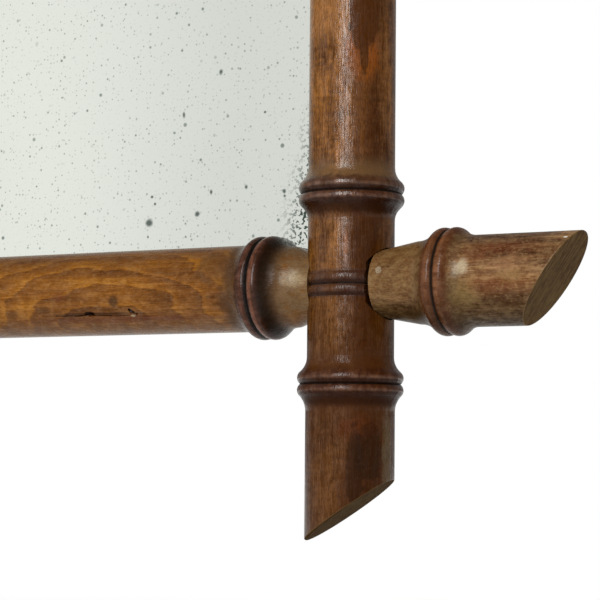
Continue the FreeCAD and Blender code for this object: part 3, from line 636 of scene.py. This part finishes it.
def paintEnds(tree, place, rod, look, colour):
    # painted shade, with dirt, darkens whatever faces down
    below = addNode(tree, "MapRange", rod["upward"], *look["belowReach"], 0.0, look["belowShare"], **soft)
    beyond = addNode(tree, "MapRange", rod["half"], look["cutFrom"], look["cutFrom"] + ends["edge"], **soft)
    sawn = addNode(tree, "MapRange", rod["endward"], *ends["sawnFacing"], **soft)
    sawn = addNode(tree, "Math", sawn, beyond, operation="MULTIPLY")
    lines = drawLayers(tree, place, ends["layers"])["saw"]
    lines = addNode(tree, "Math", rod["mottle"], ends["sawMottle"], lines, operation="MULTIPLY_ADD")
    lines = addNode(tree, "MapRange", lines, *ends["sawLines"], **soft)
    endTone = addNode(tree, "Mix", {0: lines, 6: look["cut"], 7: look["ray"]}, **paint)
    arris = addNode(tree, "MapRange", rod["endward"], *ends["arrisFrom"], **soft)
    arrisEnd = addNode(tree, "MapRange", rod["endward"], *ends["arrisTo"], 0.0, ends["arrisShare"], **soft)
    arris = addNode(tree, "Math", arris, arrisEnd, operation="MULTIPLY")
    arris = addNode(tree, "Math", arris, beyond, operation="MULTIPLY")
    for mask, tint in ((below, look["below"]), (sawn, endTone), (arris, look["worn"])):
        colour = addNode(tree, "Mix", {0: mask, 6: colour, 7: tint}, **paint)
    rod["below"], rod["sawn"] = below, sawn
    return colour


# the old polish is worn along the grain, and dirt, scorched stain and the painted shade below are dull beside
# it
polish = {
    "roughSpan": 0.24, "roughBead": -0.12, "roughSawn": 0.6, "roughCleft": 0.3,
    "rayPits": -0.9, "mottleLumps": 0.9,
    "dullTones": (0.01, 0.06), "dullShare": 0.4, "raisedShare": 1.25,
    "mottleShare": 0.6, "patches": (0.62, 0.98, 0.5, 1.5),
    "dirtAndShadeDull": -0.8, "duskFade": (0.35, 0.7, 1.0, 0.55),
}


def polishWood(tree, shader, rod, look, colour):
    fibre, mottle = rod["fibre"], rod["mottle"]
    rough = look["rough"] - polish["roughSpan"] / 2
    rough = addNode(tree, "Math", mottle, polish["roughSpan"], rough, operation="MULTIPLY_ADD")
    rough = addNode(tree, "Math", rod["bead"], polish["roughBead"], rough, operation="MULTIPLY_ADD")
    rough = addNode(tree, "Math", rod["sawn"], polish["roughSawn"], rough, operation="MULTIPLY_ADD")
    rough = addNode(tree, "Math", rod["grooveShade"], polish["roughCleft"], rough,
                    operation="MULTIPLY_ADD", use_clamp=True)
    height = addNode(tree, "Math", rod["rays"], polish["rayPits"], fibre, operation="MULTIPLY_ADD")
    height = addNode(tree, "Math", mottle, polish["mottleLumps"], height, operation="MULTIPLY_ADD")
    bump = addNode(tree, "Bump", {"Height": height, "Strength": 1.0, "Distance": look["bump"] * mm})
    light = addNode(tree, "RGBToBW", colour)
    dull = polish["dullShare"] * look["gloss"]
    gloss = addNode(tree, "MapRange", light, *polish["dullTones"], dull, look["gloss"], **soft)
    gloss = addNode(tree, "Mix", {0: rod["raised"], 2: gloss, 3: polish["raisedShare"] * look["gloss"]})
    patchy = addNode(tree, "Math", mottle, polish["mottleShare"], fibre, operation="MULTIPLY_ADD")
    patchy = addNode(tree, "MapRange", patchy, *polish["patches"], **soft)
    gloss = addNode(tree, "Math", gloss, patchy, operation="MULTIPLY")
    clean = addNode(tree, "Math", rod["below"], polish["dirtAndShadeDull"], 1.0, operation="MULTIPLY_ADD")
    faded = addNode(tree, "MapRange", rod["dusk"], *polish["duskFade"], **soft)
    clean = addNode(tree, "Math", clean, faded, operation="MULTIPLY")
    gloss = addNode(tree, "Math", gloss, clean, operation="MULTIPLY")
    tree.links.new(colour, shader.inputs["Base Color"])
    tree.links.new(rough, shader.inputs["Roughness"])
    tree.links.new(bump, shader.inputs["Normal"])
    tree.links.new(gloss, shader.inputs["Specular IOR Level"])
    shader.inputs["IOR"].default_value = beech["ior"]


def makeBeech(name, look, axis, side, seed, hearts, marks):
    material, tree, shader, place = startMaterial(name)
    rod = measureRod(tree, place, look, axis, side, seed)
    colour = stainWood(tree, rod, look, hearts)
    colour = wearWood(tree, rod, look, colour, marks)
    colour = paintRings(tree, rod, look, colour)
    colour = paintEnds(tree, place, rod, look, colour)
    polishWood(tree, shader, rod, look, colour)
    return material


def dressRods(bottomRail):
    # look, axis, which way is outwards, seed, hearts of the figure (round, along), marks
    # rails and finials take no glow and no scorch, the first two of the strewn marks
    rods = {
        "stile_right": (stileLook, stileAxis, 1.0, 1, [(-30.0, -250.0), (34.0, 20.0), (-20.0, 240.0)],
                        stileMarks + strewMarks(31, -60.0, 260.0)),
        "stile_left": (stileLook, -stileAxis, -1.0, 2, [(30.0, -180.0), (-34.0, 60.0), (24.0, 300.0)],
                       strewMarks(32, -260.0, 60.0) + strewMarks(33, 100.0, 400.0)),
        "rail_bottom": (railLook, -railAxis, 1.0, 3, [(-22.0, 122.0), (30.0, -30.0), (-18.0, -150.0)],
                        railMarks + strewMarks(34, -180.0, 0.0)[2:]),
        "rail_top": (railLook, railAxis, 1.0, 4, [(20.0, 110.0), (-26.0, -40.0), (24.0, -160.0)],
                     strewMarks(35, -180.0, 180.0)[2:]),
        "finial_bottom_right": (finialLook, -railAxis, 1.0, 5, [(-30.0, 320.0)], finialMarks),
        "finial_bottom_left": (finialLook, -railAxis, 1.0, 6, [(30.0, -320.0)],
                               strewMarks(36, -330.0, -300.0)[2:]),
        "finial_top_right": (finialLook, railAxis, 1.0, 7, [(24.0, 320.0)], strewMarks(37, 300.0, 330.0)[2:]),
        "finial_top_left": (finialLook, railAxis, 1.0, 8, [(-24.0, -320.0)],
                            strewMarks(38, -330.0, -300.0)[2:]),
    }
    for name, (look, axis, side, seed, hearts, marks) in rods.items():
        finish = makeBeech("stainedBeech_" + name, look, axis, side, seed, hearts, marks)
        nodes[name].material_slots[0].material = finish
        if name == "rail_bottom":
            bottomRail.data.materials.clear()
            bottomRail.data.materials.append(finish)
    print("rods stained:", len(rods))


# Old silvered plate glass: faintly green, with painted shade greying its reflection toward the sides, and
# grey specks where silver has gone
foxing = {
    "silver": "#e6e9e0", "dull": "#d4d7d0", "speck": "#7d8981", "rot": "#414d47",
    "dullReach": (60.0, 215.0), "cloudShare": 0.25,         # millimetres from the middle of the plate
    "pinholes": [(1.9, 0.42, 0.7), (3.4, 0.55, 0.75), (7.0, 0.8, 0.85), (17.0, 1.1, 0.9)],
    "pinholePower": 3.0, "pinholeEdge": 0.3, "pinholeFaint": (0.1, 0.9),    # most are small
    "rotStart": 221.0, "rotCorner": (225.0, 280.0, 4.0, -14.0), "rotWander": -30.0,
    "rotReach": (-6.0, -26.0), "rotEdge": (0.515, 0.565),
    "rough": 0.03, "goneRough": 0.35,
    "spot": ("#43504b", 0.6, 0.7, 0.9),         # tint, how soft, how ragged, how strong
    "layers": {"cloud": ((70.0, 70.0, 70.0), 2.0, 0.5), "patch": ((22.0, 34.0, 22.0), 2.0, 0.5),
               "rot": ((2.0, 2.0, 2.0), 1.5, 0.6)},
}
foxSpots = [        # place on the plate and half sizes, in millimetres
    ((133.1, -287.4), (1.7, 1.6)), ((159.1, -284.4), (1.2, 1.2)),
    ((170.9, -219.6), (0.9, 1.2)), ((184.8, -273.4), (0.8, 0.9)),
    ((151.3, -238.1), (0.7, 1.4)), ((166.4, -274.7), (0.7, 1.0)),
    ((134.5, -275.3), (0.7, 0.6)), ((136.2, -278.7), (0.6, 0.6)),
    ((194.3, -239.8), (0.6, 0.6)), ((204.7, -276.3), (0.8, 0.9)),
    ((204.8, -278.5), (0.6, 0.6)), ((132.6, -293.9), (0.5, 0.6)),
]


def makeSilver():
    material, tree, shader, place = startMaterial("silveredGlass")
    apart = addNode(tree, "SeparateXYZ", place, out=None).outputs
    flat = addNode(tree, "CombineXYZ", apart["X"], apart["Z"])
    sideways = addNode(tree, "Math", apart["X"], operation="ABSOLUTE")
    upDown = addNode(tree, "Math", apart["Z"], operation="ABSOLUTE")
    drawn = drawLayers(tree, flat, foxing["layers"])
    dull = addNode(tree, "MapRange", sideways, *foxing["dullReach"], **soft)
    dull = addNode(tree, "Math", drawn["cloud"], foxing["cloudShare"], dull,
                   operation="MULTIPLY_ADD", use_clamp=True)
    colour = addNode(tree, "Mix", {0: dull, 6: foxing["silver"], 7: foxing["dull"]}, **paint)
    # rot creeps in from the sides, most of all near the corners
    gap = addNode(tree, "Math", foxing["rotStart"], sideways, operation="SUBTRACT")
    corner = addNode(tree, "MapRange", upDown, *foxing["rotCorner"], **soft)
    gap = addNode(tree, "Math", gap, corner, operation="ADD")
    crept = addNode(tree, "Math", drawn["patch"], foxing["rotWander"], gap, operation="MULTIPLY_ADD")
    crept = addNode(tree, "MapRange", crept, *foxing["rotReach"], **soft)
    rotten = addNode(tree, "MapRange", drawn["rot"], *foxing["rotEdge"], **soft)
    rotten = addNode(tree, "Math", rotten, crept, operation="MULTIPLY")
    # pinholes of four sizes: millimetres apart, largest half width, strength
    holes = None
    for cell, reach, share in foxing["pinholes"]:
        feeds = {"Vector": flat, "Scale": 1 / cell}
        cells = addNode(tree, "TexVoronoi", feeds, voronoi_dimensions="2D", out=None).outputs
        draw = addNode(tree, "SeparateColor", cells["Color"], out=None).outputs
        room = addNode(tree, "Math", draw[0], foxing["pinholePower"], operation="POWER")
        room = addNode(tree, "Math", room, reach / cell, operation="MULTIPLY")
        inside = addNode(tree, "Math", room, cells["Distance"], operation="SUBTRACT")
        edge = foxing["pinholeEdge"] / cell
        hole = addNode(tree, "MapRange", inside, -edge, edge, **soft)
        faint = addNode(tree, "MapRange", draw[1], *foxing["pinholeFaint"], 0.0, share, **soft)
        hole = addNode(tree, "Math", hole, faint, operation="MULTIPLY")
        holes = hole if holes is None else addNode(tree, "Math", holes, hole, operation="MAXIMUM")
    colour = addNode(tree, "Mix", {0: holes, 6: colour, 7: foxing["speck"]}, **paint)
    colour = addNode(tree, "Mix", {0: rotten, 6: colour, 7: foxing["rot"]}, **paint)
    colour = paintMarks(tree, colour, flat, [spot + foxing["spot"] for spot in foxSpots])
    gone = addNode(tree, "Math", holes, rotten, operation="MAXIMUM")
    rough = addNode(tree, "Math", gone, foxing["goneRough"], foxing["rough"], operation="MULTIPLY_ADD")
    tree.links.new(colour, shader.inputs["Base Color"])
    tree.links.new(rough, shader.inputs["Roughness"])
    shader.inputs["Metallic"].default_value = 1.0
    nodes["mirror_plate"].material_slots[0].material = material
    print("plate silvered")


# Old pine: straight soft growth bands along the boards, grey with dust, and dirt in the joints between them
pine = {
    "pale": "#a08257", "mid": "#87683f", "dark": "#694d2e", "spread": 0.25, "rough": 0.72, "gloss": 0.3,
    "bandGap": 6.0, "wander": 34.0, "bandShare": 0.09, "stainShare": 0.9, "shade": 0.45, "shadeStep": 0.04,
    "dust": "#84765f", "dustReach": (0.45, 0.75, 0.0, 0.35), "dirt": "#2a2019", "joint": (2.2, 0.5),
    "knot": ("#43291a", 0.5, 0.3, 0.85),        # tint, how soft, how ragged, how strong
    "knotsEach": 3, "knotWide": (3.0, 6.0), "knotLong": 1.5, "seed": 50,
    "boardSteps": (700.0, 90.0, 310.0),         # millimetres in the wood from board to board
    "layers": {"drift": ((520.0, 60.0, 60.0), 2.0, 0.4), "fibre": ((70.0, 1.1, 1.1), 3.0, 0.5),
               "stain": ((120.0, 60.0, 40.0), 3.0, 0.5), "dust": ((45.0, 45.0, 45.0), 4.0, 0.5)},
    "bump": {"Strength": 0.5, "Distance": 0.3 * mm},
    "on": ("backboard_top", "backboard_middle", "backboard_bottom", "setting_blocks"),
}


def makePine():
    for number, name in enumerate(pine["on"]):
        material, tree, shader, place = startMaterial("oldPine_" + name)
        apart = addNode(tree, "SeparateXYZ", place, out=None).outputs
        height = apart["Z"]
        shift = [number * step for step in pine["boardSteps"]]
        cut = addNode(tree, "VectorMath", place, shift, operation="ADD")
        drawn = drawLayers(tree, cut, pine["layers"])
        band = addNode(tree, "Math", drawn["drift"], pine["wander"], height, operation="MULTIPLY_ADD")
        band = addNode(tree, "Math", band, 2 * math.pi / pine["bandGap"], operation="MULTIPLY")
        band = addNode(tree, "Math", band, operation="SINE")
        tone = addNode(tree, "Math", band, pine["bandShare"], drawn["fibre"], operation="MULTIPLY_ADD")
        tone = addNode(tree, "Math", drawn["stain"], pine["stainShare"], tone, operation="MULTIPLY_ADD")
        shade = pine["shade"] - pine["shadeStep"] * (number % 3)        # the boards differ a little
        tone = addNode(tree, "Math", tone, shade, operation="SUBTRACT")
        ramp = addNode(tree, "ValToRGB", tone, out=None)
        stops = ramp.color_ramp.elements
        stops[0].position = 0.5 - pine["spread"]
        stops[0].color = toLinear(pine["dark"])
        stops[1].position = 0.5 + pine["spread"]
        stops[1].color = toLinear(pine["pale"])
        stops.new(0.5).color = toLinear(pine["mid"])
        dusty = addNode(tree, "MapRange", drawn["dust"], *pine["dustReach"], **soft)
        colour = addNode(tree, "Mix", {0: dusty, 6: ramp.outputs[0], 7: pine["dust"]}, **paint)
        low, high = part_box(name)
        draw = random.Random(pine["seed"] + number)
        knots = []
        for knot in range(pine["knotsEach"]):
            wide = draw.uniform(*pine["knotWide"])
            at = (draw.uniform(low[0], high[0]) / mm, draw.uniform(low[2], high[2]) / mm)
            knots.append((at, (pine["knotLong"] * wide, wide)) + pine["knot"])
        flat = addNode(tree, "CombineXYZ", apart["X"], height)
        colour = paintMarks(tree, colour, flat, knots)
        above = addNode(tree, "Math", height, low[2] / mm, operation="SUBTRACT")
        below = addNode(tree, "Math", high[2] / mm, height, operation="SUBTRACT")
        edge = addNode(tree, "Math", above, below, operation="MINIMUM")
        dirty = addNode(tree, "MapRange", edge, *pine["joint"], **soft)
        colour = addNode(tree, "Mix", {0: dirty, 6: colour, 7: pine["dirt"]}, **paint)
        bump = addNode(tree, "Bump", pine["bump"] | {"Height": drawn["fibre"]})
        tree.links.new(colour, shader.inputs["Base Color"])
        tree.links.new(bump, shader.inputs["Normal"])
        shader.inputs["Roughness"].default_value = pine["rough"]
        shader.inputs["Specular IOR Level"].default_value = pine["gloss"]
        nodes[name].material_slots[0].material = material
    print("boards finished:", len(pine["on"]))


# Small metal parts: clean metal, with tarnish or rust over it in patches
metals = {
    "agedBrass": {"clean": "#b08a4a", "tarnish": "#5d4526", "reach": (0.42, 0.62),
                  "rough": 0.34, "patch": 2.4,
                  "on": ("hanger_strap_left", "hanger_strap_right", "hanger_ring_left", "hanger_ring_right")},
    "dullSteel": {"clean": "#8f8b84", "tarnish": "#4c4038", "reach": (0.45, 0.65),
                  "rough": 0.42, "patch": 1.2,
                  "on": ("hanger_screws_left", "hanger_screws_right")},
    "rustyIron": {"clean": "#4a4541", "tarnish": "#55301b", "reach": (0.4, 0.6),
                  "rough": 0.6, "patch": 1.6,
                  "on": ("backboard_sprigs",)},
}
tarnish = {"rough": 0.25, "metal": -0.45}           # what it adds to the clean metal
pits = {"Strength": 0.3, "Distance": 0.1 * mm}      # on metal, end grain and card


def makeMetals():
    for name, metal in metals.items():
        material, tree, shader, place = startMaterial(name)
        patches = drawLayers(tree, place, {"patch": ((metal["patch"],) * 3, 4.0, 0.6)})["patch"]
        tarnished = addNode(tree, "MapRange", patches, *metal["reach"], **soft)
        colour = addNode(tree, "Mix", {0: tarnished, 6: metal["clean"], 7: metal["tarnish"]}, **paint)
        rough = addNode(tree, "Math", tarnished, tarnish["rough"], metal["rough"], operation="MULTIPLY_ADD")
        solid = addNode(tree, "Math", tarnished, tarnish["metal"], 1.0, operation="MULTIPLY_ADD")
        bump = addNode(tree, "Bump", pits | {"Height": patches})
        tree.links.new(colour, shader.inputs["Base Color"])
        tree.links.new(rough, shader.inputs["Roughness"])
        tree.links.new(solid, shader.inputs["Metallic"])
        tree.links.new(bump, shader.inputs["Normal"])
        for node in metal["on"]:
            nodes[node].material_slots[0].material = material
    print("metal parts finished:", len(metals))


# Small parts: pegs of bare beech that show pale end grain, and grey card with a fibrous face
plains = {
    "bareBeech": {"pale": "#99856a", "dark": "#6b5638", "grain": 0.5, "reach": (0.35, 0.65), "rough": 0.65,
                  "on": ("finial_pegs",)},
    "greyCard": {"pale": "#9a958a", "dark": "#777165", "grain": 1.5, "reach": (0.35, 0.65), "rough": 0.85,
                 "on": ("packing_slips",)},
}


def makePlains():
    for name, plain in plains.items():
        material, tree, shader, place = startMaterial(name)
        speckle = drawLayers(tree, place, {"grain": ((plain["grain"],) * 3, 3.0, 0.6)})["grain"]
        share = addNode(tree, "MapRange", speckle, *plain["reach"], **soft)
        colour = addNode(tree, "Mix", {0: share, 6: plain["pale"], 7: plain["dark"]}, **paint)
        bump = addNode(tree, "Bump", pits | {"Height": speckle})
        tree.links.new(colour, shader.inputs["Base Color"])
        tree.links.new(bump, shader.inputs["Normal"])
        shader.inputs["Roughness"].default_value = plain["rough"]
        for node in plain["on"]:
            nodes[node].material_slots[0].material = material
    print("small parts finished:", len(plains))


scene.view_settings.view_transform = "Standard"
makeCamera()
makeStudio()
dressRods(cutSplit())
makeSilver()
makePine()
makeMetals()
makePlains()
